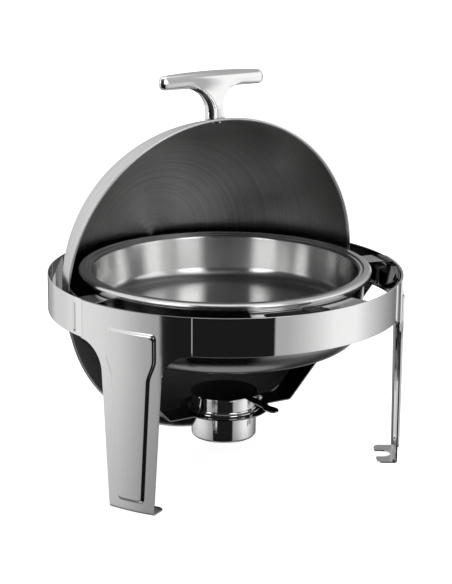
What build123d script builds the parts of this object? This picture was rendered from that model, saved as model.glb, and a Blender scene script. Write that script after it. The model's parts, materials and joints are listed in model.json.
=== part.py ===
from build123d import *
import math
import os

os.makedirs("parts", exist_ok=True)

# Round roll-top chafing dish. Millimetres, +Z up, origin on the table under the middle of the band.
# The front is -Y, and the lid turns about an axis along X.

# ---- driving dimensions -------------------------------------------------------------------
table_to_rim = 264.0

band_outer_r = 237.0
band_wall = 1.5
band_height = 50.0
bead_angle = 84.0
bead_width = 8.0
bead_length = 43.0
bead_rise = 1.6
bead_sheet = 1.0

leg_wall = 1.8
leg_head_half_angle = 20.0
leg_neck_half = 43.4
leg_fillet = 38.0
leg_foot_half = 33.0
panel_rise = 2.4
panel_top_z = 239.0
panel_base_z = 14.0
panel_top_half = 37.0
panel_waist_half = 28.5
panel_shoulder_z = 206.0
panel_waist_z = 174.0
panel_base_half = 20.0
panel_corner = 7.0
foot_length = 27.0
foot_thickness = 2.0
foot_slot_half = 12.5
foot_slot_depth = 21.0
foot_corner = 7.5

food_sheet = 1.2
food_rim_r = 197.0
food_rim_z = table_to_rim + 6.0
food_lip = 6.4
food_step = 1.6
food_floor_z = 207.0
food_mouth_r = 178.0
food_floor_radius = 19.0
food_lip_radius = 4.6

water_sheet = 1.0
water_floor_z = 169.0
water_wall_r = 187.8
water_rim_r = 192.7
water_floor_radius = 28.0
pan_rest_gap = 0.4

plate_sheet = 1.5
plate_top_z = 260.0
plate_bend = 7.0
ring_thickness = 2.0

hinge_drop = 19.0
lid_rest_tilt = 6.0
dome_r = 222.0
dome_sheet = 1.2
dome_centre_drop = 10.0
rim_offset = 26.0
handle_polar = 74.0

shaft_r = 3.0
running_gap = 0.05

strap_width = 40.0
strap_sheet = 1.6
strap_z = 70.0
strap_flat_half = 95.0
strap_ring_r = 61.0

cup_r = 44.5
cup_sheet = 1.0
cup_floor_z = 31.0
cup_top_z = 91.2
cover_gap = 0.3
cover_sheet = 1.5
pin_r = 2.0
pin_ring_r = 51.5
pin_angle = 33.0

# ---- worked-out places --------------------------------------------------------------------
band_inner_r = band_outer_r - band_wall
band_bottom_z = table_to_rim - band_height
leg_outer_r = band_outer_r + leg_wall
panel_outer_r = leg_outer_r + panel_rise
hinge_z = table_to_rim - hinge_drop
dome_axis_y = math.cos(math.radians(lid_rest_tilt))
dome_axis_z = math.sin(math.radians(lid_rest_tilt))
dome_inner_r = dome_r - dome_sheet
rim_r = math.sqrt(dome_r**2 - (rim_offset + dome_centre_drop) ** 2)
inner_rim_r = math.sqrt(dome_inner_r**2 - (rim_offset + dome_centre_drop) ** 2)
cover_bottom_z = cup_top_z + cover_gap
pin_x = pin_ring_r * math.sin(math.radians(pin_angle))
pin_y = -pin_ring_r * math.cos(math.radians(pin_angle))


def ring_point(radius, angle):
    """A point on a circle about the Z axis. Angle 0 is the front, and it grows towards +X."""
    return (radius * math.sin(math.radians(angle)), -radius * math.cos(math.radians(angle)))


def outward_plane(angle):
    """Local X runs along the band, local Y is up and local Z points out from the middle."""
    a = math.radians(angle)
    return Plane(origin=(0, 0, 0), x_dir=(math.cos(a), math.sin(a), 0), z_dir=(math.sin(a), -math.cos(a), 0))


def floor_plane(angle, height):
    """Local X runs along the band, local Y points in to the middle and local Z is up."""
    a = math.radians(angle)
    return Plane(origin=(0, 0, height), x_dir=(math.cos(a), math.sin(a), 0), z_dir=(0, 0, 1))


def radial_plane(angle):
    """Local X points out from the middle and local Y is up."""
    x, y = ring_point(1, angle)
    return Plane(origin=(0, 0, 0), x_dir=(x, y, 0), z_dir=(y, -x, 0))


def wedge(start, end):
    """A sector of a large circle about the Z axis, as a sketch polygon."""
    reach = 400.0
    middle = (start + end) / 2
    return [(0, 0), ring_point(reach, start), ring_point(reach, middle), ring_point(reach, end)]


# ---- band ---------------------------------------------------------------------------------
with BuildPart() as frame_band:
    with BuildSketch(Plane.XY.offset(band_bottom_z)):
        Circle(band_outer_r)
        Circle(band_inner_r, mode=Mode.SUBTRACT)
    extrude(amount=band_height)
    for side in (-1, 1):
        with BuildSketch(outward_plane(side * bead_angle).offset(band_inner_r)):
            with Locations((0, band_bottom_z + band_height / 2)):
                SlotOverall(bead_length, bead_width, rotation=90)
        extrude(amount=band_wall + bead_rise, taper=20)
        with BuildSketch(outward_plane(side * bead_angle).offset(band_inner_r - band_wall)):
            with Locations((0, band_bottom_z + band_height / 2)):
                SlotOverall(bead_length - 3 * bead_sheet, bead_width - 3 * bead_sheet, rotation=90)
        extrude(amount=2 * band_wall + bead_rise - bead_sheet, taper=20, mode=Mode.SUBTRACT)
frame_band.part.label = "frame_band"
export_step(frame_band.part, "parts/frame_band.step")


# ---- legs ---------------------------------------------------------------------------------
# The T-shaped blank of a leg, laid flat: half of it from the foot up to the head, then mirrored.
leg_head_half = leg_outer_r * math.sin(math.radians(leg_head_half_angle))
fillet_x = leg_neck_half + leg_fillet
fillet_z = band_bottom_z - leg_fillet
fillet_corner = leg_fillet * math.sqrt(0.5)
with BuildSketch() as leg_outline:
    with BuildLine():
        Line((0, 0), (leg_foot_half, 0))
        Line((leg_foot_half, 0), (leg_neck_half, fillet_z))
        ThreePointArc(
            (leg_neck_half, fillet_z),
            (fillet_x - fillet_corner, fillet_z + fillet_corner),
            (fillet_x, band_bottom_z),
        )
        Line((fillet_x, band_bottom_z), (leg_head_half, band_bottom_z))
        Line((leg_head_half, band_bottom_z), (leg_head_half, table_to_rim))
        Line((leg_head_half, table_to_rim), (0, table_to_rim))
        Line((0, table_to_rim), (0, 0))
    make_face()
    mirror(about=Plane.YZ)


def bottle(inset):
    """The bottle-shaped outline of a leg's raised panel, drawn in from its edge by inset."""
    top_z = panel_top_z - inset
    base_z = panel_base_z + inset
    top_half = panel_top_half - inset
    base_half = panel_base_half - inset
    cut = panel_corner * (1 - math.sqrt(0.5))
    with BuildSketch() as outline:
        with BuildLine():
            top = Line((0, top_z), (top_half - panel_corner, top_z))
            corner = ThreePointArc(top @ 1, (top_half - cut, top_z - cut), (top_half, top_z - panel_corner))
            upright = Line(corner @ 1, (top_half, panel_shoulder_z))
            shoulder = Spline(
                upright @ 1,
                (panel_waist_half - inset, panel_waist_z),
                tangents=((0, -1), (-0.05, -1)),
            )
            side = Line(shoulder @ 1, (base_half, base_z + panel_corner))
            foot_end = (base_half - panel_corner, base_z)
            foot = ThreePointArc(side @ 1, (base_half - cut, base_z + cut), foot_end)
            base = Line(foot @ 1, (0, base_z))
            Line(base @ 1, top @ 0)
        make_face()
        mirror(about=Plane.YZ)
    return outline.sketch


def make_leg(angle):
    out = outward_plane(angle)
    with BuildPart() as raised:
        with BuildSketch():
            Circle(panel_outer_r)
            Circle(leg_outer_r - leg_wall / 2, mode=Mode.SUBTRACT)
        extrude(amount=table_to_rim)
        with BuildSketch(out):
            add(bottle(0))
        extrude(amount=2 * band_outer_r, mode=Mode.INTERSECT)
    with BuildPart() as hollow:
        with BuildSketch():
            Circle(band_outer_r + panel_rise)
            Circle(band_outer_r - leg_wall, mode=Mode.SUBTRACT)
        extrude(amount=table_to_rim)
        with BuildSketch(out):
            add(bottle(leg_wall))
        extrude(amount=2 * band_outer_r, mode=Mode.INTERSECT)
    with BuildPart() as leg:
        with BuildSketch():
            Circle(leg_outer_r)
            Circle(band_outer_r, mode=Mode.SUBTRACT)
        extrude(amount=table_to_rim)
        with BuildSketch(out):
            add(leg_outline.sketch)
        extrude(amount=2 * band_outer_r, mode=Mode.INTERSECT)
        add(raised.part)
        add(hollow.part, mode=Mode.SUBTRACT)
        with BuildSketch(floor_plane(angle, 0)) as foot:
            with Locations((0, -band_outer_r)):
                Rectangle(2 * leg_foot_half, 2 * foot_length)
            Circle(leg_outer_r, mode=Mode.INTERSECT)
            with Locations((0, -band_outer_r + foot_length)):
                SlotOverall(2 * foot_slot_depth, 2 * foot_slot_half, rotation=90, mode=Mode.SUBTRACT)
            fillet(foot.vertices().sort_by(Axis.Y)[-4:], foot_corner)
        extrude(amount=foot_thickness)
    return leg.part


for name, angle in (("front_left_leg", -60), ("front_right_leg", 60), ("rear_leg", 180)):
    leg = make_leg(angle)
    leg.label = name
    export_step(leg, "parts/" + name + ".step")

# ---- pans ---------------------------------------------------------------------------------
with BuildPart() as food_pan:
    mid_floor = food_floor_z - food_sheet / 2
    mid_rim = food_rim_z - food_sheet / 2
    mid_lip = food_rim_r - food_sheet / 2
    with BuildSketch(Plane.XZ):
        with BuildLine():
            FilletPolyline(
                (0, mid_floor),
                (food_mouth_r - 6.5, mid_floor),
                (food_mouth_r + 0.5, mid_rim - food_step),
                (food_mouth_r + 6.5, mid_rim - food_step),
                (food_mouth_r + 8.5, mid_rim),
                (mid_lip, mid_rim),
                (mid_lip, food_rim_z - food_lip),
                radius=[food_floor_radius, 4, 1.2, 1.2, food_lip_radius],
            )
        trace(line_width=food_sheet)
    revolve(axis=Axis.Z)
food_pan.part.label = "food_pan"
export_step(food_pan.part, "parts/food_pan.step")

with BuildPart() as water_pan:
    mid_floor = water_floor_z + water_sheet / 2
    mid_rim = food_rim_z - food_sheet - pan_rest_gap - water_sheet / 2
    mid_lip = water_rim_r - water_sheet / 2
    with BuildSketch(Plane.XZ):
        with BuildLine():
            FilletPolyline(
                (0, mid_floor),
                (water_wall_r - 4, mid_floor),
                (water_wall_r - water_sheet / 2, mid_rim),
                (mid_lip, mid_rim),
                (mid_lip, plate_top_z + ring_thickness),
                radius=[water_floor_radius, 1.8, 1.4],
            )
        trace(line_width=water_sheet)
    revolve(axis=Axis.Z)
water_pan.part.label = "water_pan"
export_step(water_pan.part, "parts/water_pan.step")

with BuildPart() as pan_support_ring:
    with BuildSketch(Plane.XY.offset(plate_top_z)):
        Circle(water_rim_r + 1.3)
        Circle(water_wall_r + 0.6, mode=Mode.SUBTRACT)
    extrude(amount=ring_thickness)
pan_support_ring.part.label = "pan_support_ring"
export_step(pan_support_ring.part, "parts/pan_support_ring.step")


# ---- brackets between the band and the support ring ---------------------------------------
def make_bracket(start, end, tab_depth):
    """A ledge under the support ring that bends down into a tab along the inside of the band."""
    ledge_z = plate_top_z - plate_sheet / 2
    tab_r = band_inner_r - plate_sheet / 2
    with BuildPart() as bracket:
        with BuildSketch(radial_plane(start)):
            with BuildLine():
                FilletPolyline(
                    (water_wall_r + 1.2, ledge_z),
                    (tab_r, ledge_z),
                    (tab_r, plate_top_z - tab_depth),
                    radius=plate_bend,
                )
            trace(line_width=plate_sheet)
        revolve(axis=Axis.Z, revolution_arc=end - start)
        with BuildSketch():
            Circle(band_inner_r)
        extrude(amount=table_to_rim, mode=Mode.INTERSECT)
    return bracket.part


rest_half_angle = 22.0
window_inner_r = 204.0
window_start = -17.5
window_end = 6.0
window_corner = 9.0
with BuildPart() as front_rest_plate:
    add(make_bracket(-rest_half_angle, rest_half_angle, 16.0))
    with BuildSketch(Plane.XY.offset(plate_top_z - 2 * plate_sheet)) as window:
        Circle(band_inner_r - plate_sheet - plate_bend)
        Circle(window_inner_r, mode=Mode.SUBTRACT)
        Polygon(*wedge(window_start, window_end), align=None, mode=Mode.INTERSECT)
        inner_corners = window.vertices().sort_by(Axis.Y)[-2:]
        fillet(inner_corners, window_corner)
    extrude(amount=3 * plate_sheet, mode=Mode.SUBTRACT)
front_rest_plate.part.label = "front_rest_plate"
export_step(front_rest_plate.part, "parts/front_rest_plate.step")

bracket_near_angle = 76.5
bracket_far_angle = 85.5
for name, start, end in (
    ("pan_bracket_left", -bracket_far_angle, -bracket_near_angle),
    ("pan_bracket_right", bracket_near_angle, bracket_far_angle),
):
    bracket = make_bracket(start, end, 18.0)
    bracket.label = name
    export_step(bracket, "parts/" + name + ".step")

bumper_rise = 0.9
bumper_drop = 2.0
with BuildPart() as lid_bumper:
    with BuildSketch(Plane.XY.offset(plate_top_z - plate_sheet - bumper_drop)):
        Circle(window_inner_r + 18)
        Circle(window_inner_r - 5, mode=Mode.SUBTRACT)
        Polygon(*wedge(-1.8, 3.4), align=None, mode=Mode.INTERSECT)
    extrude(amount=plate_sheet + bumper_drop + bumper_rise)
    fillet(lid_bumper.edges().filter_by(Axis.Z), bumper_drop)
    with BuildSketch(Plane.XY.offset(plate_top_z - plate_sheet)):
        Circle(window_inner_r)
    extrude(amount=plate_sheet, mode=Mode.SUBTRACT)
lid_bumper.part.label = "lid_bumper"
export_step(lid_bumper.part, "parts/lid_bumper.step")

# ---- hinges -------------------------------------------------------------------------------
plate_outer_r = dome_inner_r - 0.02
washer_x = plate_outer_r + 0.1
washer_thickness = 1.0
boss_x = washer_x + washer_thickness + 0.1
boss_r = 7.0
washer_r = 8.0
screw_tip_x = 231.0
screw_head_x = 217.8
screw_head_r = 6.0
screw_head_height = 3.0

with BuildPart() as hinge_boss_right:
    with BuildSketch(Plane.YZ.offset(boss_x)):
        with Locations((0, hinge_z)):
            Circle(boss_r)
    extrude(amount=band_outer_r - boss_x)
    with BuildSketch():
        Circle(band_inner_r)
    extrude(amount=table_to_rim, mode=Mode.INTERSECT)
    with BuildSketch(Plane.YZ.offset(boss_x)):
        with Locations((0, hinge_z)):
            Circle(shaft_r)
    extrude(amount=screw_tip_x - boss_x, mode=Mode.SUBTRACT)
hinge_boss_right.part.label = "hinge_boss_right"
export_step(hinge_boss_right.part, "parts/hinge_boss_right.step")

with BuildPart() as hinge_screw_right:
    with BuildSketch(Plane.YZ.offset(screw_head_x)):
        with Locations((0, hinge_z)):
            Circle(shaft_r)
    extrude(amount=screw_tip_x - screw_head_x)
    with BuildSketch(Plane.YZ.offset(screw_head_x - screw_head_height)):
        with Locations((0, hinge_z)):
            Circle(screw_head_r)
    extrude(amount=screw_head_height)
    fillet(hinge_screw_right.edges().sort_by(Axis.X)[0], 1.6)
hinge_screw_right.part.label = "hinge_screw_right"
export_step(hinge_screw_right.part, "parts/hinge_screw_right.step")

with BuildPart() as hinge_washer_right:
    with BuildSketch(Plane.YZ.offset(washer_x)):
        with Locations((0, hinge_z)):
            Circle(washer_r)
            Circle(shaft_r + running_gap, mode=Mode.SUBTRACT)
    extrude(amount=washer_thickness)
hinge_washer_right.part.label = "hinge_washer_right"
export_step(hinge_washer_right.part, "parts/hinge_washer_right.step")

for name, right in (
    ("hinge_boss_left", hinge_boss_right),
    ("hinge_screw_left", hinge_screw_right),
    ("hinge_washer_left", hinge_washer_right),
):
    with BuildPart() as left:
        mirror(right.part, about=Plane.YZ)
    left.part.label = name
    export_step(left.part, "parts/" + name + ".step")

# ---- lid ----------------------------------------------------------------------------------
# lid_frame: local X along the hinge axis, local Z along the dome's axis towards its pole.
# lid_section: local X along the hinge axis, local Y along the dome's axis.
hinge_point = (0, 0, hinge_z)
lid_frame = Plane(origin=hinge_point, x_dir=(1, 0, 0), z_dir=(0, dome_axis_y, dome_axis_z))
lid_section = Plane(origin=hinge_point, x_dir=(1, 0, 0), z_dir=(0, -dome_axis_z, dome_axis_y))
dome_axis = Axis(origin=hinge_point, direction=(0, dome_axis_y, dome_axis_z))
pole = dome_r - dome_centre_drop
mid_angle = math.radians(45)
handle_frame = lid_frame.offset(-dome_centre_drop).rotated((handle_polar, 0, 0))
lip_r = 1.6
lip_offset = rim_offset + 1.2
handle_screw_spacing = 18.0
handle_screw_r = 2.0
screw_length_in_stem = 12.0

with BuildPart() as lid_dome:
    with BuildSketch(lid_section):
        with BuildLine():
            ThreePointArc(
                (rim_r, rim_offset),
                (dome_r * math.cos(mid_angle), dome_r * math.sin(mid_angle) - dome_centre_drop),
                (0, pole),
            )
            Line((0, pole), (0, pole - dome_sheet))
            ThreePointArc(
                (0, pole - dome_sheet),
                (dome_inner_r * math.cos(mid_angle), dome_inner_r * math.sin(mid_angle) - dome_centre_drop),
                (inner_rim_r, rim_offset),
            )
            Line((inner_rim_r, rim_offset), (rim_r, rim_offset))
        make_face()
        with Locations((rim_r + 0.5, lip_offset)):
            Circle(lip_r)
    revolve(axis=dome_axis)
    with BuildSketch(handle_frame):
        with GridLocations(0, handle_screw_spacing, 1, 2):
            Circle(handle_screw_r + 0.2)
    extrude(amount=dome_r + 5, mode=Mode.SUBTRACT)
lid_dome.part.label = "lid_dome"
export_step(lid_dome.part, "parts/lid_dome.step")

hinge_plate_half = 10.0
hinge_plate_sheet = 2.0
hinge_plate_reach = 46.0
hinge_plate_corner = 8.0
plate_rivet_offset = 37.0
plate_rivet_across = 4.5
rivet_head_r = 2.0
rivet_head_height = 1.48
with BuildPart() as hinge_plate_right:
    with BuildSketch(lid_frame.offset(-hinge_plate_half)):
        with Locations((dome_r, 0)):
            Rectangle(40, 2 * hinge_plate_half)
    extrude(amount=hinge_plate_half + hinge_plate_reach)
    fillet(hinge_plate_right.edges().filter_by(Axis.X), hinge_plate_corner)
    with Locations(lid_frame.offset(-dome_centre_drop)):
        Sphere(plate_outer_r, mode=Mode.INTERSECT)
        Sphere(plate_outer_r - hinge_plate_sheet, mode=Mode.SUBTRACT)
    with BuildSketch(Plane.YZ):
        with Locations((0, hinge_z)):
            Circle(shaft_r + running_gap)
    extrude(amount=band_outer_r, mode=Mode.SUBTRACT)
hinge_plate_right.part.label = "hinge_plate_right"
export_step(hinge_plate_right.part, "parts/hinge_plate_right.step")

with BuildPart() as hinge_plate_left:
    mirror(hinge_plate_right.part, about=Plane.YZ)
hinge_plate_left.part.label = "hinge_plate_left"
export_step(hinge_plate_left.part, "parts/hinge_plate_left.step")

rivet_height = plate_rivet_offset + dome_centre_drop
rivet_reach = math.sqrt(dome_r**2 - rivet_height**2 - plate_rivet_across**2)
with BuildPart() as hinge_plate_rivets:
    for side in (-1, 1):
        for across in (-plate_rivet_across, plate_rivet_across):
            sideways = lid_frame.x_dir * side * rivet_reach + lid_frame.y_dir * across
            outward = sideways + lid_frame.z_dir * rivet_height
            spot = Plane(origin=handle_frame.origin, x_dir=lid_frame.y_dir, z_dir=outward)
            with BuildSketch(spot.offset(plate_outer_r - hinge_plate_sheet - rivet_head_height - 0.02)):
                Circle(rivet_head_r)
            extrude(amount=rivet_head_height)
hinge_plate_rivets.part.label = "hinge_plate_rivets"
export_step(hinge_plate_rivets.part, "parts/hinge_plate_rivets.step")

# ---- handle -------------------------------------------------------------------------------
bar_half = 79.0
bar_centre = dome_r + 52.4
bar_half_height = 9.6
bar_arch = 2.8
bar_half_depth = 9.5
neck_half = 6.6
arm_fillet = 31.0
stem_half_depth = 14.5
stem_root = dome_r - 6
groove_r = 38.2
groove_x = 41.3
groove_height = dome_r + 6
groove_front = 9.0
groove_back = 4.0
handle_front = Plane(origin=handle_frame.origin, x_dir=handle_frame.x_dir, z_dir=-handle_frame.y_dir)
handle_side = Plane(origin=handle_frame.origin, x_dir=handle_frame.y_dir, z_dir=handle_frame.x_dir)
bar_bottom = bar_centre - bar_half_height
bar_top = bar_centre + bar_half_height
arm_corner = arm_fillet * math.sqrt(0.5)
with BuildPart() as handle:
    with BuildSketch(handle_front):
        with BuildLine():
            Line((0, stem_root), (neck_half + 3, stem_root))
            Spline(
                (neck_half + 3, stem_root),
                (neck_half, bar_bottom - arm_fillet),
                tangents=((-0.3, 1), (0, 1)),
            )
            ThreePointArc(
                (neck_half, bar_bottom - arm_fillet),
                (neck_half + arm_fillet - arm_corner, bar_bottom - arm_fillet + arm_corner),
                (neck_half + arm_fillet, bar_bottom),
            )
            Line((neck_half + arm_fillet, bar_bottom), (bar_half - bar_half_height, bar_bottom))
            ThreePointArc(
                (bar_half - bar_half_height, bar_bottom),
                (bar_half, bar_centre),
                (bar_half - bar_half_height, bar_top),
            )
            Spline(
                (bar_half - bar_half_height, bar_top),
                (0, bar_top + bar_arch),
                tangents=((-1, 0.08), (-1, 0)),
            )
            Line((0, bar_top + bar_arch), (0, stem_root))
        make_face()
        mirror(about=Plane.YZ)
    extrude(amount=2 * stem_half_depth, both=True)
    with BuildSketch(handle_side):
        with BuildLine():
            Line((0, stem_root), (stem_half_depth + 1.5, stem_root))
            Spline(
                (stem_half_depth + 1.5, stem_root),
                (stem_half_depth, dome_r + 14),
                (bar_half_depth, bar_bottom + 2),
                tangents=((-0.1, 1), (-0.05, 1)),
            )
            Line((bar_half_depth, bar_bottom + 2), (bar_half_depth, bar_top + 2 * bar_arch))
            Line((bar_half_depth, bar_top + 2 * bar_arch), (0, bar_top + 2 * bar_arch))
            Line((0, bar_top + 2 * bar_arch), (0, stem_root))
        make_face()
        mirror(about=Plane.YZ)
    extrude(amount=2 * bar_half, both=True, mode=Mode.INTERSECT)
    with BuildSketch(handle_front.offset(-groove_back)):
        with Locations((-groove_x, groove_height), (groove_x, groove_height)):
            Circle(groove_r)
        with Locations((0, bar_bottom)):
            Rectangle(2 * bar_half, 4 * bar_half, align=(Align.CENTER, Align.MIN), mode=Mode.SUBTRACT)
    extrude(amount=groove_back + groove_front, mode=Mode.SUBTRACT)
    with Locations(lid_frame.offset(-dome_centre_drop)):
        Sphere(dome_r, mode=Mode.SUBTRACT)
    with BuildSketch(handle_frame):
        with GridLocations(0, handle_screw_spacing, 1, 2):
            Circle(handle_screw_r)
    extrude(amount=dome_r + screw_length_in_stem + 2, mode=Mode.SUBTRACT)
handle.part.label = "handle"
export_step(handle.part, "parts/handle.step")

screw_seat = dome_inner_r - 0.6
screw_washer_r = 4.6
screw_washer_height = 1.0
handle_screw_head_r = 3.8
handle_screw_head_height = 2.6
with BuildPart() as handle_washers:
    with BuildSketch(handle_frame.offset(screw_seat - screw_washer_height)):
        with GridLocations(0, handle_screw_spacing, 1, 2):
            Circle(screw_washer_r)
            Circle(handle_screw_r, mode=Mode.SUBTRACT)
    extrude(amount=screw_washer_height)
handle_washers.part.label = "handle_washers"
export_step(handle_washers.part, "parts/handle_washers.step")

screw_head_top = screw_seat - screw_washer_height
with BuildPart() as handle_screws:
    with BuildSketch(handle_frame.offset(screw_head_top)):
        with GridLocations(0, handle_screw_spacing, 1, 2):
            Circle(handle_screw_r)
    extrude(amount=dome_r + screw_length_in_stem - screw_head_top)
    with BuildSketch(handle_frame.offset(screw_head_top - handle_screw_head_height)):
        with GridLocations(0, handle_screw_spacing, 1, 2):
            Circle(handle_screw_head_r)
    extrude(amount=handle_screw_head_height)
handle_screws.part.label = "handle_screws"
export_step(handle_screws.part, "parts/handle_screws.step")

# ---- burner strap -------------------------------------------------------------------------
strap_tab_x = band_inner_r - 1.3
strap_knee_z = 223.0
strap_tab_top_z = 235.0
strap_bend = 6.0
with BuildPart() as burner_strap:
    with BuildSketch(Plane.XZ):
        with BuildLine():
            FilletPolyline(
                (-strap_tab_x, strap_tab_top_z),
                (-strap_tab_x, strap_knee_z),
                (-strap_flat_half, strap_z),
                (strap_flat_half, strap_z),
                (strap_tab_x, strap_knee_z),
                (strap_tab_x, strap_tab_top_z),
                radius=strap_bend,
            )
        trace(line_width=strap_sheet)
    extrude(amount=strap_width / 2, both=True)
    with BuildSketch(Plane.XY.offset(strap_z - strap_sheet / 2)):
        Circle(strap_ring_r)
    extrude(amount=strap_sheet)
    with BuildSketch(Plane.XY.offset(strap_z - strap_sheet)):
        Circle(cup_r + 0.5)
    extrude(amount=2 * strap_sheet, mode=Mode.SUBTRACT)
    with BuildSketch():
        Circle(band_inner_r)
    extrude(amount=table_to_rim, mode=Mode.INTERSECT)
burner_strap.part.label = "burner_strap"
export_step(burner_strap.part, "parts/burner_strap.step")

# ---- fuel holder --------------------------------------------------------------------------
with BuildPart() as fuel_cup:
    with BuildSketch(Plane.XZ):
        with BuildLine():
            FilletPolyline(
                (0, cup_floor_z + cup_sheet / 2),
                (cup_r - cup_sheet / 2, cup_floor_z + cup_sheet / 2),
                (cup_r - cup_sheet / 2, cup_top_z),
                radius=4,
            )
        trace(line_width=cup_sheet)
    revolve(axis=Axis.Z)
fuel_cup.part.label = "fuel_cup"
export_step(fuel_cup.part, "parts/fuel_cup.step")

collar_z = strap_z + strap_sheet / 2
collar_sheet = 1.4
collar_flange = 5.5
collar_height = 4.5
with BuildPart() as cup_collar:
    with BuildSketch(Plane.XY.offset(collar_z)):
        Circle(cup_r + collar_flange)
        Circle(cup_r, mode=Mode.SUBTRACT)
    extrude(amount=collar_sheet)
    with BuildSketch(Plane.XY.offset(collar_z)):
        Circle(cup_r + collar_sheet)
        Circle(cup_r, mode=Mode.SUBTRACT)
    extrude(amount=collar_height)
    fillet(cup_collar.edges().group_by(Axis.Z)[-1].sort_by(SortBy.LENGTH)[-1], 1.0)
cup_collar.part.label = "cup_collar"
export_step(cup_collar.part, "parts/cup_collar.step")

ear_r = 6.0
ear_reach = 10.0
lug_sheet = 1.6
pin_head = 1.6
pin_head_gap = 0.2


def ear():
    """The rounded ear round the pin, joined to the cup's side."""
    with BuildSketch() as outline:
        with Locations((pin_x, pin_y)):
            Circle(ear_r)
        with Locations(Location((pin_x, pin_y), pin_angle)):
            with Locations((0, ear_reach / 2)):
                Rectangle(2 * ear_r, ear_reach)
    return outline.sketch


with BuildPart() as cover_lug:
    with BuildSketch(Plane.XY.offset(cup_top_z - lug_sheet)):
        add(ear())
        Circle(cup_r, mode=Mode.SUBTRACT)
        with Locations((pin_x, pin_y)):
            Circle(pin_r, mode=Mode.SUBTRACT)
    extrude(amount=lug_sheet)
cover_lug.part.label = "cover_lug"
export_step(cover_lug.part, "parts/cover_lug.step")

pin_foot_z = cup_top_z - lug_sheet - pin_head
pin_head_z = cover_bottom_z + cover_sheet + pin_head_gap
with BuildPart() as cover_pin:
    with BuildSketch(Plane.XY.offset(pin_foot_z)):
        with Locations((pin_x, pin_y)):
            Circle(pin_r)
    extrude(amount=pin_head_z - pin_foot_z)
    for height in (pin_foot_z, pin_head_z):
        with BuildSketch(Plane.XY.offset(height)):
            with Locations((pin_x, pin_y)):
                Circle(2 * pin_r)
        extrude(amount=pin_head)
cover_pin.part.label = "cover_pin"
export_step(cover_pin.part, "parts/cover_pin.step")

with BuildPart() as burner_cover:
    with BuildSketch(Plane.XY.offset(cover_bottom_z)):
        Circle(cup_r + 1)
        add(ear())
        with Locations((pin_x, pin_y)):
            Circle(pin_r + running_gap, mode=Mode.SUBTRACT)
    extrude(amount=cover_sheet)
burner_cover.part.label = "burner_cover"
export_step(burner_cover.part, "parts/burner_cover.step")

lever_x = 12.0
lever_tip_y = -102.0
lever_root_y = -20.0
lever_half = 6.0
paddle_r = 9.0
lever_sheet = 1.5
lever_z = cover_bottom_z + cover_sheet
with BuildPart() as cover_lever:
    with BuildSketch(Plane.XY.offset(lever_z)):
        with Locations((lever_x, (lever_root_y + lever_tip_y) / 2)):
            Rectangle(2 * lever_half, lever_root_y - lever_tip_y)
        with Locations((lever_x, lever_tip_y)):
            Ellipse(paddle_r, 1.4 * paddle_r)
        with Locations((lever_x, lever_root_y)):
            Circle(lever_half)
        with Locations((pin_x, pin_y)):
            Circle(2 * pin_r + 1, mode=Mode.SUBTRACT)
    extrude(amount=lever_sheet)
cover_lever.part.label = "cover_lever"
export_step(cover_lever.part, "parts/cover_lever.step")
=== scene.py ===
import json
import math

import bmesh
import bpy
from mathutils import Matrix, Vector


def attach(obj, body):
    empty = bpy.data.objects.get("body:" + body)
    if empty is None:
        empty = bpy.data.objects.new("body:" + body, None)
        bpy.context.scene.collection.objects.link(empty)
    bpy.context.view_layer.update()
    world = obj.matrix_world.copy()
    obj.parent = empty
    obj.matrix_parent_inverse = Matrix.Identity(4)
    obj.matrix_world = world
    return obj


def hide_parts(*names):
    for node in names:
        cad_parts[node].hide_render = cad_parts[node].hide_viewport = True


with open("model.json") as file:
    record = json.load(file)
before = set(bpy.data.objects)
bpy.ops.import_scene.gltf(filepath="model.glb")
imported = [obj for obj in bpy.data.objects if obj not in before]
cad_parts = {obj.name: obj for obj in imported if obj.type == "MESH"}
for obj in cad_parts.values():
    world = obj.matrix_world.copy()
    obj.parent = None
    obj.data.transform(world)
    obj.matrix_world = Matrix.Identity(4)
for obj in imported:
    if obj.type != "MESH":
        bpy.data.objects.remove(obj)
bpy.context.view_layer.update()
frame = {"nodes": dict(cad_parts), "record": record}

# Round roll-top chafing dish, seen with its lid rolled back. Lengths are in metres.
MM = 0.001
RIM_Z = 264 * MM
BAND_R = 237 * MM
BAND_WALL = 1.5 * MM
BAND_HEIGHT = 50 * MM
BAND_LOW = RIM_Z - BAND_HEIGHT
BEAD_ANGLE = 84.0
LEG_WALL = 1.8 * MM
LEG_R = BAND_R + LEG_WALL
HINGE_Z = 245 * MM
LID_TILT = 6.0
DOME_R = 222 * MM
DOME_SHEET = 1.2 * MM
DOME_DROP = 10 * MM
RIM_OFFSET = 26 * MM
FOOD_RIM_R = 197 * MM
FOOD_RIM_Z = RIM_Z + 6 * MM
FOOD_FLOOR_Z = 207 * MM
WATER_FLOOR_Z = 169 * MM
WATER_WALL_R = 187.8 * MM
WATER_RIM_R = 192.7 * MM
WATER_RIM_Z = FOOD_RIM_Z - 1.6 * MM
RING_TOP_Z = 262 * MM
CUP_R = 44.5 * MM
CUP_FLOOR_Z = 31 * MM
CUP_TOP_Z = 91.2 * MM
STRAP_Z = 70 * MM
PAN_MOUTH_R = 178 * MM
FULL_TURN = 360
# Closer to the axis than this, a ring of the lathe is a single point.
POLE_R = 1e-7

record = frame["record"]
SLOT_OF = {part["node"]: part["material_slot"] for part in record["subparts"]}
BODY_OF = {node: body for body, nodes in record["behaviour"]["bodies"].items() for node in nodes}
collection = bpy.context.scene.collection


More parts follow.
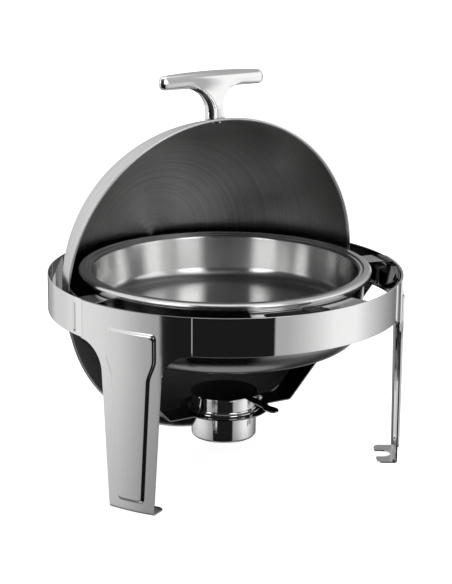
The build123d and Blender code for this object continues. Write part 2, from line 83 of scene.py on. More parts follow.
# ---- shader helpers -----------------------------------------------------------------------
class Shader:
    """A node tree with a Principled BSDF, and short calls to add and join nodes."""

    def __init__(self, name):
        self.material = bpy.data.materials.new(name)
        self.material.use_nodes = True
        self.tree = self.material.node_tree
        self.tree.nodes.clear()
        self.out = self.tree.nodes.new("ShaderNodeOutputMaterial")
        self.bsdf = self.tree.nodes.new("ShaderNodeBsdfPrincipled")
        self.join(self.bsdf.outputs["BSDF"], self.out.inputs["Surface"])

    def join(self, source, target):
        self.tree.links.new(source, target)

    def put(self, target, value):
        if isinstance(value, bpy.types.NodeSocket):
            self.join(value, target)
        else:
            target.default_value = value

    def math(self, operation, *values):
        node = self.tree.nodes.new("ShaderNodeMath")
        node.operation = operation
        for socket, value in zip(node.inputs, values):
            self.put(socket, value)
        return node.outputs[0]

    def vector(self, operation, *values):
        node = self.tree.nodes.new("ShaderNodeVectorMath")
        node.operation = operation
        for socket, value in zip(node.inputs, values):
            self.put(socket, value)
        gives_number = operation in ("LENGTH", "DOT_PRODUCT")
        return node.outputs["Value" if gives_number else "Vector"]

    def combine(self, x, y, z):
        node = self.tree.nodes.new("ShaderNodeCombineXYZ")
        for socket, value in zip(node.inputs, (x, y, z)):
            self.put(socket, value)
        return node.outputs[0]

    def position(self):
        return self.tree.nodes.new("ShaderNodeTexCoord").outputs["Object"]

    def noise(self, vector, scale, detail, roughness=0.55):
        node = self.tree.nodes.new("ShaderNodeTexNoise")
        self.put(node.inputs["Vector"], vector)
        node.inputs["Scale"].default_value = scale
        node.inputs["Detail"].default_value = detail
        node.inputs["Roughness"].default_value = roughness
        return node.outputs["Fac"]

    def remap(self, value, low, high, to_low, to_high):
        node = self.tree.nodes.new("ShaderNodeMapRange")
        for socket, number in zip(node.inputs, (value, low, high, to_low, to_high)):
            self.put(socket, number)
        return node.outputs["Result"]

    def blend(self, one, other, share):
        rest = self.math("SUBTRACT", 1.0, share)
        one_part = self.math("MULTIPLY", one, rest)
        other_part = self.math("MULTIPLY", other, share)
        return self.math("ADD", one_part, other_part)

    def grey(self, value, warm=0.0):
        """A grey whose blue is a little lower, by warm, and its green by a fifth of that."""
        green = self.math("MULTIPLY", value, 1.0 - 0.2 * warm)
        blue = self.math("MULTIPLY", value, 1.0 - warm)
        return self.combine(value, green, blue)

    def bump(self, height, strength, distance, normal=None):
        node = self.tree.nodes.new("ShaderNodeBump")
        self.put(node.inputs["Height"], height)
        node.inputs["Strength"].default_value = strength
        node.inputs["Distance"].default_value = distance
        if normal is not None:
            self.join(normal, node.inputs["Normal"])
        return node.outputs["Normal"]


# Noise cells per metre across the spinning marks: those of the fine brushing, and those of the
# wider marks that the tool leaves.
BRUSH_LINES = 2600.0
TOOL_MARKS = 420.0
STEEL_WARMTH = 0.006


def spun_coordinates(shader, centre, axis):
    """(distance from the axis, height along it, the vector out from the axis), in object space."""
    out = shader.vector("SUBTRACT", shader.position(), centre)
    height = shader.vector("DOT_PRODUCT", out, axis)
    along = shader.vector("SCALE", axis)
    shader.join(height, along.node.inputs["Scale"])
    flat = shader.vector("SUBTRACT", out, along)
    return shader.vector("LENGTH", flat), height, flat


def steel(
    name,
    tone,
    rough,
    rough_spread,
    wave=0.0,
    streak=0.0,
    spun=None,
    anisotropy=0.0,
    rings=0.0,
    shade=None,
):
    """Stainless steel. wave is the strength of a slow unevenness. spun = (centre, axis) turns the
    brushing round that axis, streak is its strength, and rings is the strength of the wider tool
    marks. shade(shader) gives a factor of painted shade for the tone."""
    shader = Shader(name)
    position = shader.position()
    patches = shader.noise(position, 9.0, 2.0)
    grain = shader.noise(position, 160.0, 4.0, 0.6)
    rough_here = shader.remap(patches, 0.3, 0.7, rough - rough_spread, rough + rough_spread)
    tone_here = shader.remap(grain, 0.3, 0.7, tone * 0.985, tone * 1.015)
    normal = None
    if wave:
        swell = shader.noise(position, 14.0, 1.0)
        normal = shader.bump(swell, wave, 4 * MM)
    if spun:
        centre, axis = spun
        radius, height, flat = spun_coordinates(shader, centre, axis)
        drift = shader.vector("SCALE", flat)
        drift.node.inputs["Scale"].default_value = 2.5
        hair = spun_noise(shader, radius, height, drift, BRUSH_LINES, 2.0, 0.7)
        normal = shader.bump(hair, streak, 0.4 * MM, normal)
        brushing = shader.remap(hair, 0.25, 0.75, 1 - 0.22 * streak, 1 + 0.22 * streak)
        tone_here = shader.math("MULTIPLY", tone_here, brushing)
        scatter = shader.remap(hair, 0.25, 0.75, -0.05 * streak, 0.05 * streak)
        rough_here = shader.math("ADD", rough_here, scatter)
        marks = spun_noise(shader, radius, height, drift, TOOL_MARKS, 4.0, 0.75)
        ringed = shader.remap(marks, 0.3, 0.7, 1 - rings, 1 + rings)
        tone_here = shader.math("MULTIPLY", tone_here, ringed)
        brush_along_turn(shader, axis, flat, anisotropy)
    if shade:
        tone_here = shader.math("MULTIPLY", tone_here, shade(shader))
    shader.put(shader.bsdf.inputs["Base Color"], shader.grey(tone_here, STEEL_WARMTH))
    shader.put(shader.bsdf.inputs["Roughness"], rough_here)
    shader.bsdf.inputs["Metallic"].default_value = 1.0
    if normal is not None:
        shader.join(normal, shader.bsdf.inputs["Normal"])
    return shader.material


def spun_noise(shader, radius, height, drift, lines, detail, roughness):
    """Noise in rings round the axis. The drift lets each ring fade in and out along its turn."""
    outwards = shader.math("MULTIPLY", radius, lines)
    upwards = shader.math("MULTIPLY", height, lines)
    track = shader.vector("ADD", shader.combine(outwards, upwards, 0.0), drift)
    return shader.noise(track, 1.0, detail, roughness)


def brush_along_turn(shader, axis, flat, anisotropy):
    """Stretches the reflections across the brushing, which runs round the axis."""
    tangent = shader.vector("CROSS_PRODUCT", axis, flat)
    turn = shader.tree.nodes.new("ShaderNodeVectorTransform")
    turn.vector_type = "VECTOR"
    turn.convert_from = "OBJECT"
    turn.convert_to = "WORLD"
    shader.join(tangent, turn.inputs[0])
    shader.join(turn.outputs[0], shader.bsdf.inputs["Tangent"])
    shader.bsdf.inputs["Anisotropic"].default_value = anisotropy
    shader.bsdf.inputs["Anisotropic Rotation"].default_value = 0.25


def soft_black(name, tone, rough):
    """Rubber or nylon: a fine matt grain."""
    shader = Shader(name)
    grain = shader.noise(shader.position(), 900.0, 3.0)
    tone_here = shader.remap(grain, 0.3, 0.7, tone * 0.8, tone * 1.2)
    shader.put(shader.bsdf.inputs["Base Color"], shader.grey(tone_here))
    rough_here = shader.remap(grain, 0.3, 0.7, rough - 0.06, rough + 0.06)
    shader.put(shader.bsdf.inputs["Roughness"], rough_here)
    shader.join(shader.bump(grain, 0.3, 0.3 * MM), shader.bsdf.inputs["Normal"])
    return shader.material


PANS_AXIS = ((0.0, 0.0, 0.0), (0.0, 0.0, 1.0))
TILT = math.radians(LID_TILT)
DOME_AXIS = (0.0, math.cos(TILT), math.sin(TILT))
HINGE = Vector((0.0, 0.0, HINGE_Z))
DOME_CENTRE = HINGE - DOME_DROP * Vector(DOME_AXIS)

HANDLE_LEAN = math.radians(10)
HANDLE_OUT = Vector((0.0, math.sin(HANDLE_LEAN), math.cos(HANDLE_LEAN)))
HANDLE_FRONT = Vector((0.0, -math.cos(HANDLE_LEAN), math.sin(HANDLE_LEAN)))
BAR_CENTRE = DOME_R + 52.4 * MM
BAR_HALF = 79 * MM
BAR_HALF_HEIGHT = 9.6 * MM
BAR_ARCH = 2.8 * MM

# The recess in each side of the stem, where the handle is painted nearly black as painted shade: an
# arc of that radius about a point beside the stem and above the dome.
RECESS_R = 36.1 * MM
RECESS_ASIDE = 41.3 * MM
RECESS_ABOVE = 6 * MM
RECESS_FORWARD = 2.5 * MM
RECESS_HALF = 6.6 * MM
RECESS_TOP = (BAR_CENTRE - 11.5 * MM, BAR_CENTRE - 9.5 * MM)
RECESS_SIDE = (36 * MM, 40 * MM)
# Painted shade: the share of the tone that the painted shade takes away in the handle's recesses.
RECESS_PAINTED_SHADE = 0.98
# Painted shade: the factor of the tone left on the dome's inside.
DOME_INSIDE_PAINTED_SHADE = 0.34
# Painted shade: the factor of the tone left on the polished steel inside the band.
BAND_INSIDE_PAINTED_SHADE = 0.28


def dome_inside_painted_shade(shader):
    """Painted shade: the dome's inside is painted darker than its outside."""
    out = shader.vector("SUBTRACT", shader.position(), tuple(DOME_CENTRE))
    reach = shader.vector("LENGTH", out)
    return shader.remap(reach, DOME_R - 0.9 * MM, DOME_R - 0.4 * MM, DOME_INSIDE_PAINTED_SHADE, 1.0)


def painted_recess_shade(shader):
    """Painted shade: the recesses in the sides of the handle's stem are painted nearly black."""
    place = shader.vector("SUBTRACT", shader.position(), tuple(DOME_CENTRE))
    deep = shader.vector("DOT_PRODUCT", place, tuple(HANDLE_FRONT))
    out = shader.vector("DOT_PRODUCT", place, tuple(HANDLE_OUT))
    across = shader.vector("DOT_PRODUCT", place, (1.0, 0.0, 0.0))
    aside = shader.math("SUBTRACT", shader.math("ABSOLUTE", across), RECESS_ASIDE)
    above = shader.math("SUBTRACT", out, DOME_R + RECESS_ABOVE)
    reach = shader.vector("LENGTH", shader.combine(aside, above, 0.0))
    sunk = shader.remap(reach, RECESS_R - 0.5 * MM, RECESS_R + 0.5 * MM, 0.0, 1.0)
    off_middle = shader.math("ABSOLUTE", shader.math("SUBTRACT", deep, RECESS_FORWARD))
    between = shader.remap(off_middle, RECESS_HALF - 0.4 * MM, RECESS_HALF + 0.4 * MM, 1.0, 0.0)
    below_bar = shader.remap(out, *RECESS_TOP, 1.0, 0.0)
    near = shader.remap(shader.math("ABSOLUTE", across), *RECESS_SIDE, 1.0, 0.0)
    inside = shader.math("MULTIPLY", sunk, between)
    inside = shader.math("MULTIPLY", inside, shader.math("MULTIPLY", below_bar, near))
    return shader.math("SUBTRACT", 1.0, shader.math("MULTIPLY", inside, RECESS_PAINTED_SHADE))


def band_inside_painted_shade(shader):
    """Painted shade: polished steel closer to the axis than the band's outer face is painted
    darker, so the band's inside face and the strap inside it are dark.
    """
    flat = shader.vector("MULTIPLY", shader.position(), (1.0, 1.0, 0.0))
    reach = shader.vector("LENGTH", flat)
    return shader.remap(reach, BAND_R - 1.2 * MM, BAND_R - 0.5 * MM, BAND_INSIDE_PAINTED_SHADE, 1.0)


MATERIALS = {
    # Painted shade darkens the polished steel inside the band.
    "polished_steel": steel("polished_steel", 0.80, 0.04, 0.015, wave=0.03, shade=band_inside_painted_shade),
    "leg_steel": steel("leg_steel", 0.76, 0.075, 0.015, wave=0.02),
    "satin_steel": steel("satin_steel", 0.56, 0.14, 0.03),
    # Painted shade: a darker copy of the pan steel, for the water pan that stands in the shade
    # under the band.
    "pan_steel_painted_shade": steel(
        "pan_steel_painted_shade",
        0.32,
        0.18,
        0.03,
        streak=0.1,
        spun=PANS_AXIS,
        anisotropy=0.6,
    ),
    "pan_steel": steel(
        "pan_steel",
        0.76,
        0.2,
        0.02,
        streak=0.05,
        spun=PANS_AXIS,
        anisotropy=0.9,
        rings=0.04,
    ),
    "brushed_lid_steel": steel(
        "brushed_lid_steel",
        0.78,
        0.36,
        0.03,
        streak=0.4,
        spun=(tuple(DOME_CENTRE), DOME_AXIS),
        anisotropy=0.9,
        rings=0.18,
        # Painted shade darkens the dome's inside.
        shade=dome_inside_painted_shade,
    ),
    # Painted shade: the handle's recesses are painted nearly black.
    "polished_handle": steel("polished_handle", 0.86, 0.05, 0.02, shade=painted_recess_shade),
    "cup_steel": steel("cup_steel", 0.78, 0.07, 0.02, streak=0.06, spun=PANS_AXIS, anisotropy=0.3),
    "fastener_steel": steel("fastener_steel", 0.42, 0.3, 0.04),
    "black_rubber": soft_black("black_rubber", 0.012, 0.75),
    "black_nylon": soft_black("black_nylon", 0.02, 0.55),
}


# ---- mesh helpers -------------------------------------------------------------------------
def rounded_path(points, radii):
    """A path through points, its corners turned into arcs. radii has one entry per inner corner."""
    arc_step = 5.0
    path = [Vector(points[0])]
    for before, corner, after, radius in zip(points, points[1:], points[2:], radii):
        corner = Vector(corner)
        back = (Vector(before) - corner).normalized()
        ahead = (Vector(after) - corner).normalized()
        half = back.angle(ahead) / 2
        centre = corner + (back + ahead).normalized() * radius / math.sin(half)
        start = corner + back * radius / math.tan(half)
        end = corner + ahead * radius / math.tan(half)
        sweep = (start - centre).angle_signed(end - centre)
        count = max(2, round(abs(math.degrees(sweep)) / arc_step))
        for i in range(count + 1):
            arm = (start - centre).copy()
            arm.rotate(Matrix.Rotation(-sweep * i / count, 2))
            path.append(centre + arm)
    path.append(Vector(points[-1]))
    return path


def sheet_outline(path, thickness):
    """The outline of a sheet that follows path, with a round edge at its far end."""
    cap_steps = 4
    sides = ([], [])
    for i, point in enumerate(path):
        ahead = (path[min(i + 1, len(path) - 1)] - path[max(i - 1, 0)]).normalized()
        across = Vector((-ahead.y, ahead.x)) * thickness / 2
        sides[0].append(point + across)
        sides[1].append(point - across)
    end = path[-1]
    arm = sides[0][-1] - end
    rounded = []
    for i in range(1, cap_steps):
        turned = arm.copy()
        turned.rotate(Matrix.Rotation(-math.pi * i / cap_steps, 2))
        rounded.append(end + turned)
    return sides[0] + rounded + sides[1][::-1]


def finish_piece(name, verts, faces, body, nodes, slot, sharp=35.0, look=None):
    mesh = bpy.data.meshes.new(name)
    mesh.from_pydata([tuple(v) for v in verts], [], faces)
    mesh.validate()
    piece = bpy.data.objects.new(name, mesh)
    collection.objects.link(piece)
    polish(piece, sharp)
    piece.data.materials.append(MATERIALS[look or slot])
    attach(piece, body)
    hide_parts(*nodes)
    return piece


def polish(piece, sharp):
    """Smooth shading, with the edges over that angle kept sharp."""
    for face in piece.data.polygons:
        face.use_smooth = True
    piece.data.set_sharp_from_angle(angle=math.radians(sharp))


def add_bevel(piece, width, angle):
    bevel = piece.modifiers.new("edge", "BEVEL")
    bevel.width = width
    bevel.segments = 2
    bevel.limit_method = "ANGLE"
    bevel.angle_limit = math.radians(angle)


def lathe(name, outline, nodes, count, place=None, closed=False, look=None):
    """Turns an outline of (radius, height) points about the Z axis, then places it."""
    verts = []
    rings = []
    for radius, height in outline:
        if radius < POLE_R:
            rings.append([len(verts)])
            verts.append(Vector((0, 0, height)))
            continue
        rings.append(list(range(len(verts), len(verts) + count)))
        for i in range(count):
            a = 2 * math.pi * i / count
            verts.append(Vector((radius * math.cos(a), radius * math.sin(a), height)))
    faces = []
    pairs = list(zip(rings, rings[1:]))
    if closed:
        pairs.append((rings[-1], rings[0]))
    for low, high in pairs:
        for i in range(count):
            j = (i + 1) % count
            if len(low) == 1:
                faces.append((low[0], high[j], high[i]))
            elif len(high) == 1:
                faces.append((low[i], low[j], high[0]))
            else:
                faces.append((low[i], low[j], high[j], high[i]))
    if place is not None:
        verts = [place @ v for v in verts]
    node = nodes[0]
    return finish_piece(name, verts, faces, BODY_OF[node], nodes, SLOT_OF[node], look=look)


# ---- pans, cup and dome -------------------------------------------------------------------
def build_food_pan():
    sheet = 1.2 * MM
    floor = FOOD_FLOOR_Z - sheet / 2
    rim = FOOD_RIM_Z - sheet / 2
    lip = FOOD_RIM_R - sheet / 2
    ledge = rim - 1.6 * MM
    path = rounded_path(
        [
            (0, floor),
            (PAN_MOUTH_R - 6.5 * MM, floor),
            (PAN_MOUTH_R + 0.5 * MM, ledge),
            (PAN_MOUTH_R + 6.5 * MM, ledge),
            (PAN_MOUTH_R + 8.5 * MM, rim),
            (lip, rim),
            (lip, FOOD_RIM_Z - 6.4 * MM),
        ],
        [19 * MM, 4 * MM, 1.2 * MM, 1.2 * MM, 4.6 * MM],
    )
    lathe("food_pan_shell", sheet_outline(path, sheet), ["food_pan"], 320)


def build_water_pan():
    sheet = 1.0 * MM
    floor = WATER_FLOOR_Z + sheet / 2
    rim = WATER_RIM_Z - sheet / 2
    lip = WATER_RIM_R - sheet / 2
    path = rounded_path(
        [
            (0, floor),
            (WATER_WALL_R - 4 * MM, floor),
            (WATER_WALL_R - sheet / 2, rim),
            (lip, rim),
            (lip, RING_TOP_Z),
        ],
        [28 * MM, 1.8 * MM, 1.4 * MM],
    )
    # The water pan takes a darker copy of the pan steel, as painted shade.
    lathe("water_pan_shell", sheet_outline(path, sheet), ["water_pan"], 320, look="pan_steel_painted_shade")


def build_fuel_cup():
    sheet = 1.0 * MM
    floor = CUP_FLOOR_Z + sheet / 2
    wall = CUP_R - sheet / 2
    path = rounded_path([(0, floor), (wall, floor), (wall, CUP_TOP_Z - sheet / 2)], [4 * MM])
    lathe("fuel_cup_shell", sheet_outline(path, sheet), ["fuel_cup"], 160)


def build_collar():
    """The ring that the cup hangs by, just above the strap."""
    base = STRAP_Z + 0.85 * MM
    outline = [
        (CUP_R + 0.05 * MM, base),
        (CUP_R + 5.0 * MM, base),
        (CUP_R + 5.5 * MM, base + 0.5 * MM),
        (CUP_R + 5.2 * MM, base + 1.2 * MM),
        (CUP_R + 2.4 * MM, base + 1.4 * MM),
        (CUP_R + 1.5 * MM, base + 2.2 * MM),
        (CUP_R + 1.4 * MM, base + 3.4 * MM),
        (CUP_R + 0.9 * MM, base + 4.2 * MM),
        (CUP_R + 0.05 * MM, base + 4.4 * MM),
    ]
    lathe("cup_collar_ring", outline, ["cup_collar"], 160, closed=True)


def dome_point(angle, radius):
    """Angle is measured from the pole."""
    return Vector((radius * math.sin(angle), radius * math.cos(angle) - DOME_DROP))


def build_dome():
    inner = DOME_R - DOME_SHEET
    rim_angle = math.acos((RIM_OFFSET + DOME_DROP) / DOME_R)
    inner_rim_angle = math.acos((RIM_OFFSET + DOME_DROP) / inner)
    steps = 96
    outer_side = [dome_point(rim_angle * i / steps, DOME_R) for i in range(steps + 1)]
    inner_side = [dome_point(inner_rim_angle * i / steps, inner) for i in range(steps + 1)]
    lip_r = 1.6 * MM
    lip_start = 62
    lip_step = 28.5
    lip_centre = Vector((outer_side[-1].x + 0.5 * MM, RIM_OFFSET + 1.2 * MM))
    lip = []
    for i in range(11):
        a = math.radians(lip_start - lip_step * i)
        lip.append(lip_centre + lip_r * Vector((math.cos(a), math.sin(a))))
    outer_side = [p for p in outer_side if p.y > lip_centre.y + lip_r]
    inner_side = [p for p in inner_side if p.y > lip_centre.y + lip_r * 0.8]
    turn = Matrix.Translation(HINGE) @ Matrix.Rotation(TILT - math.pi / 2, 4, "X")
    lathe("dome_shell", outer_side + lip + inner_side[::-1], ["lid_dome"], 360, turn)


# ---- band ---------------------------------------------------------------------------------
def bead_height(angle, z):
    """How far the pressed bead stands out at that place on the band."""
    half_width = 4.0 * MM
    half_length = 21.0 * MM
    rise = 1.6 * MM
    roundness = 1.4
    middle = BAND_LOW + BAND_HEIGHT / 2
    across = math.radians(abs(angle) - BEAD_ANGLE) * BAND_R
    along = max(abs(z - middle) - (half_length - half_width), 0.0)
    reach = 1.0 - math.hypot(across, along) / half_width
    if reach <= 0:
        return 0.0
    return rise * math.sin(min(reach, 1.0) * math.pi / 2) ** roundness


def build_band():
    angles = [i * 1.0 - 180 for i in range(FULL_TURN)]
    fine = [side * BEAD_ANGLE + i * 0.12 for side in (-1, 1) for i in range(-11, 12)]
    angles = sorted(set(round(a, 4) for a in angles + fine))
    edge = 0.5 * MM
    steps = 60
    heights = [BAND_LOW + edge + (BAND_HEIGHT - 2 * edge) * i / steps for i in range(steps + 1)]
    arc = [math.radians(15 * i) for i in range(1, 12)]
    outline = [(BAND_R, z) for z in heights]
    half_wall = BAND_WALL / 2
    middle = BAND_R - half_wall
    outline += [(middle + half_wall * math.cos(a), heights[-1] + edge * math.sin(a)) for a in arc]
    outline += [(BAND_R - BAND_WALL, z) for z in heights[::-1]]
    outline += [(middle - half_wall * math.cos(a), heights[0] - edge * math.sin(a)) for a in arc]
    verts = []
    for angle in angles:
        a = math.radians(angle)
        for radius, z in outline:
            r = radius + bead_height(angle, z)
            verts.append(Vector((r * math.sin(a), -r * math.cos(a), z)))
    size = len(outline)
    faces = []
    for i in range(len(angles)):
        k = (i + 1) % len(angles)
        for j in range(size):
            m = (j + 1) % size
            faces.append((i * size + j, k * size + j, k * size + m, i * size + m))
    finish_piece("band_ring", verts, faces, "frame", ["frame_band"], "polished_steel", 60)


# ---- legs ---------------------------------------------------------------------------------
def smooth_step(x):
    x = min(max(x, 0.0), 1.0)
    return x * x * (3 - 2 * x)


# HALF is half a width. The panel is the raised bottle shape, with its waist below its shoulder.
NECK_HALF = 43.4 * MM
FOOT_HALF = 33.0 * MM
LEG_FILLET = 38.0 * MM
HEAD_HALF = LEG_R * math.sin(math.radians(20))
NECK_Z = BAND_LOW - LEG_FILLET
HEAD_ROLL = 5.0 * MM
HEAD_ROLL_DEPTH = 1.7 * MM
FOOT_BEND = 3.0 * MM
FOOT_REACH = 27.0 * MM
FOOT_CORNER = 7.5 * MM
FOOT_PANEL = 20 * MM
SLOT_HALF = 12.5 * MM
SLOT_DEPTH = 21 * MM
PANEL_LOW = 14 * MM
PANEL_HIGH = 239 * MM
PANEL_CORNER = 7 * MM
PANEL_RISE = 2.4 * MM
PANEL_SLOPE = 4.2 * MM
PANEL_BASE_HALF = 20 * MM
PANEL_TOP_HALF = 37 * MM
SHOULDER_Z = 206 * MM
WAIST_Z = 174 * MM
WAIST_HALF = 28.5 * MM
PLAIN_ROW = 2.5 * MM
FINE_ROW = 0.6 * MM
CORNER_ROW = 0.25 * MM


def leg_half_width(z):
    if z <= NECK_Z:
        return FOOT_HALF + (NECK_HALF - FOOT_HALF) * z / NECK_Z
    if z < BAND_LOW:
        rise = (z - NECK_Z) / LEG_FILLET
        return NECK_HALF + LEG_FILLET * (1 - math.sqrt(max(0.0, 1 - rise * rise)))
    return HEAD_HALF


def panel_half_width(z):
    if z <= WAIST_Z:
        gain = WAIST_HALF - PANEL_BASE_HALF
        return PANEL_BASE_HALF + gain * (z - PANEL_LOW) / (WAIST_Z - PANEL_LOW)
    gain = PANEL_TOP_HALF - WAIST_HALF
    return WAIST_HALF + gain * smooth_step((z - WAIST_Z) / (SHOULDER_Z - WAIST_Z))


def panel_rise(t, z):
    """The raised panel: a soft-shouldered bottle shape."""
    side = panel_half_width(z) - abs(t)
    end = min(z - PANEL_LOW, PANEL_HIGH - z)
    inside = min(side, end)
    if side < PANEL_CORNER and end < PANEL_CORNER:
        inside = PANEL_CORNER - math.hypot(PANEL_CORNER - side, PANEL_CORNER - end)
    return PANEL_RISE * smooth_step(inside / PANEL_SLOPE)


def head_roll(t, z):
    """How far the head's upright edges turn in against the band."""
    share = max(0.0, (abs(t) - (HEAD_HALF - HEAD_ROLL)) / HEAD_ROLL)
    return HEAD_ROLL_DEPTH * share**2 * smooth_step((z - BAND_LOW) / (2 * MM))


def leg_rows():
    """Heights of the rows, closer where the panel's edges and the fillet turn."""
    z = FOOT_BEND
    rows = [z]
    while z < RIM_Z - 1e-6:
        near_end = min(abs(z - PANEL_LOW), abs(z - PANEL_HIGH)) < 6 * MM
        near_head = BAND_LOW - 10 * MM < z < BAND_LOW
        step = FINE_ROW if near_end or near_head else PLAIN_ROW
        if BAND_LOW - 1.5 * MM < z < BAND_LOW + 0.2 * MM:
            step = CORNER_ROW
        z = min(z + step, RIM_Z)
        rows.append(z)
    return rows


def leg_columns(half, panel):
    """Places of the columns across a row, closer at the edges of the panel and of the head."""
    reach = 4.5 * MM
    inner = [(panel - reach) * i / 8 for i in range(9)]
    middle = [panel - reach + 2 * reach * i / 16 for i in range(1, 17)]
    inset = half - HEAD_ROLL - panel - reach
    outer = [panel + reach + inset * i / 7 for i in range(1, 8)]
    outer += [half - HEAD_ROLL * (1 - i / 5) for i in range(1, 6)]
    right = inner + middle + outer
    return [-t for t in right[:0:-1]] + right


def foot_half_width(inset):
    """Half the foot's width, at that distance in from its rounded front edge."""
    gap = FOOT_CORNER - inset
    if gap <= 0:
        return FOOT_HALF
    return FOOT_HALF - FOOT_CORNER + math.sqrt(max(0.0, FOOT_CORNER**2 - gap**2))


def leg_strips(outward, along, tip):
    """Rows of points on the outer face, from the foot's tip to the head. Each has the way to the
    inner face, in wall thicknesses."""
    up = Vector((0, 0, 1))
    foot_rows = 12
    strips = []
    for k in range(foot_rows + 1):
        share = 1 - k / foot_rows
        row = []
        half = foot_half_width((1 - share) * (BAND_R - FOOT_BEND - tip))
        for t in leg_columns(half, FOOT_PANEL):
            heel = math.sqrt(LEG_R**2 - t * t) - FOOT_BEND
            row.append((along * t + outward * (tip * share + heel * (1 - share)), up))
        strips.append(row)
    bend_rows = 5
    for k in range(1, bend_rows + 1):
        turn = math.pi / 2 * k / bend_rows
        row = []
        for t in leg_columns(FOOT_HALF, FOOT_PANEL):
            heel = math.sqrt(LEG_R**2 - t * t) - FOOT_BEND
            ahead = heel + FOOT_BEND * math.sin(turn)
            point = along * t + outward * ahead + up * FOOT_BEND * (1 - math.cos(turn))
            row.append((point, up * math.cos(turn) - outward * math.sin(turn)))
        strips.append(row)
    for z in leg_rows()[1:]:
        row = []
        for t in leg_columns(leg_half_width(z), panel_half_width(z)):
            facing = (outward * math.sqrt(LEG_R**2 - t * t) + along * t).normalized()
            roll = head_roll(t, z)
            point = facing * (LEG_R + panel_rise(t, z) - roll) + up * z
            row.append((point, facing * (roll / LEG_WALL - 1)))
        strips.append(row)
    return strips


def build_leg(node, angle):
    """One T-shaped stamping: foot, bend, panelled upright, and the head against the band."""
    a = math.radians(angle)
    outward = Vector((math.sin(a), -math.cos(a), 0))
    along = Vector((math.cos(a), math.sin(a), 0))
    tip = BAND_R - FOOT_REACH
    strips = leg_strips(outward, along, tip)
    width = len(strips[0])
    verts = [point for row in strips for point, inward in row]
    verts += [point + inward * LEG_WALL for row in strips for point, inward in row]
    half_count = len(strips) * width
    faces = []
    for i in range(len(strips) - 1):
        for j in range(width - 1):
            q = (i * width + j, i * width + j + 1, (i + 1) * width + j + 1, (i + 1) * width + j)
            faces.append(q)
            faces.append(tuple(half_count + v for v in reversed(q)))
    border = list(range(width))
    border += [i * width + width - 1 for i in range(1, len(strips))]
    border += list(range(half_count - 2, half_count - width - 1, -1))
    border += [i * width for i in range(len(strips) - 2, 0, -1)]
    for one, two in zip(border, border[1:] + border[:1]):
        faces.append((two, one, one + half_count, two + half_count))
    piece = finish_piece(node + "_blank", verts, faces, "frame", [node], "leg_steel", 50)
    cut_slot(piece, outward * tip, outward, along)
    polish(piece, 50)
    add_bevel(piece, 0.5 * MM, 55)


def face_outwards(mesh):
    """A boolean needs closed meshes with all their faces looking out."""
    work = bmesh.new()
    work.from_mesh(mesh)
    bmesh.ops.recalc_face_normals(work, faces=work.faces)
    work.to_mesh(mesh)
    work.free()


def cut_slot(piece, mouth, outward, along):
    """Cuts a round-ended slot, open towards the middle, through the foot."""
    before = mouth - outward * 5 * MM
    outline = [before - along * SLOT_HALF]
    arc_steps = 24
    for i in range(arc_steps + 1):
        a = math.pi * i / arc_steps
        reach = SLOT_DEPTH - SLOT_HALF + SLOT_HALF * math.sin(a)
        outline.append(mouth + outward * reach - along * SLOT_HALF * math.cos(a))
    outline.append(before + along * SLOT_HALF)
    low = [p - Vector((0, 0, 2 * MM)) for p in outline]
    high = [p + Vector((0, 0, 6 * MM)) for p in outline]
    n = len(outline)
    faces = [tuple(range(n)), tuple(range(2 * n - 1, n - 1, -1))]
    faces += [(j, i, i + n, j + n) for i, j in zip(range(n), list(range(1, n)) + [0])]
    mesh = bpy.data.meshes.new("slot_cutter")
    mesh.from_pydata([tuple(v) for v in low + high], [], faces)
    face_outwards(mesh)
    face_outwards(piece.data)
    cutter = bpy.data.objects.new("slot_cutter", mesh)
    collection.objects.link(cutter)
    cut = piece.modifiers.new("slot", "BOOLEAN")
    cut.operation = "DIFFERENCE"
    cut.solver = "EXACT"
    cut.object = cutter
    apply_modifiers(piece)
    bpy.data.objects.remove(cutter)


def apply_modifiers(piece):
    graph = bpy.context.evaluated_depsgraph_get()
    done = bpy.data.meshes.new_from_object(piece.evaluated_get(graph))
    piece.modifiers.clear()
    piece.data = done


# ---- handle -------------------------------------------------------------------------------
# How far the bar's section draws in at its top, its underside and its tips, as shares of its half
# height there, and how much thinner the bar is at its ends.
OVAL_TOP = 0.93
OVAL_UNDERSIDE = 0.84
OVAL_TIP = 0.84
END_THINNING = 0.42
ARM_START = 20 * MM
ARM_BLEND = 22 * MM
SKIN_VOXEL = 1.0 * MM
SKIN_SMOOTHING = 16


def oval_section(point):
    """Draws a point of the boxy bar in to an oval section that thins towards the bar's ends."""
    local = point - DOME_CENTRE
    across = local.x
    out = local.dot(HANDLE_OUT)
    deep = local.dot(HANDLE_FRONT)
    over = out - BAR_CENTRE
    half_top = BAR_HALF_HEIGHT + BAR_ARCH * (1 - (across / BAR_HALF) ** 2)
    arm = smooth_step((abs(across) - ARM_START) / ARM_BLEND)
    rise = min(max(over, 0) / half_top, 1)
    fall = min(max(-over, 0) / BAR_HALF_HEIGHT, 1) * arm
    tip = max(abs(across) - (BAR_HALF - BAR_HALF_HEIGHT), 0) / BAR_HALF_HEIGHT
    fullness = 1 - (OVAL_TOP * rise) ** 2 - (OVAL_UNDERSIDE * fall) ** 2 - (OVAL_TIP * tip) ** 2
    on_bar = smooth_step((over + 2 * BAR_HALF_HEIGHT) / BAR_HALF_HEIGHT)
    thin = 1 - END_THINNING * on_bar * (across / BAR_HALF) ** 2
    depth = deep * thin * math.sqrt(max(fullness, 0.03))
    return DOME_CENTRE + Vector((across, 0, 0)) + HANDLE_OUT * out + HANDLE_FRONT * depth


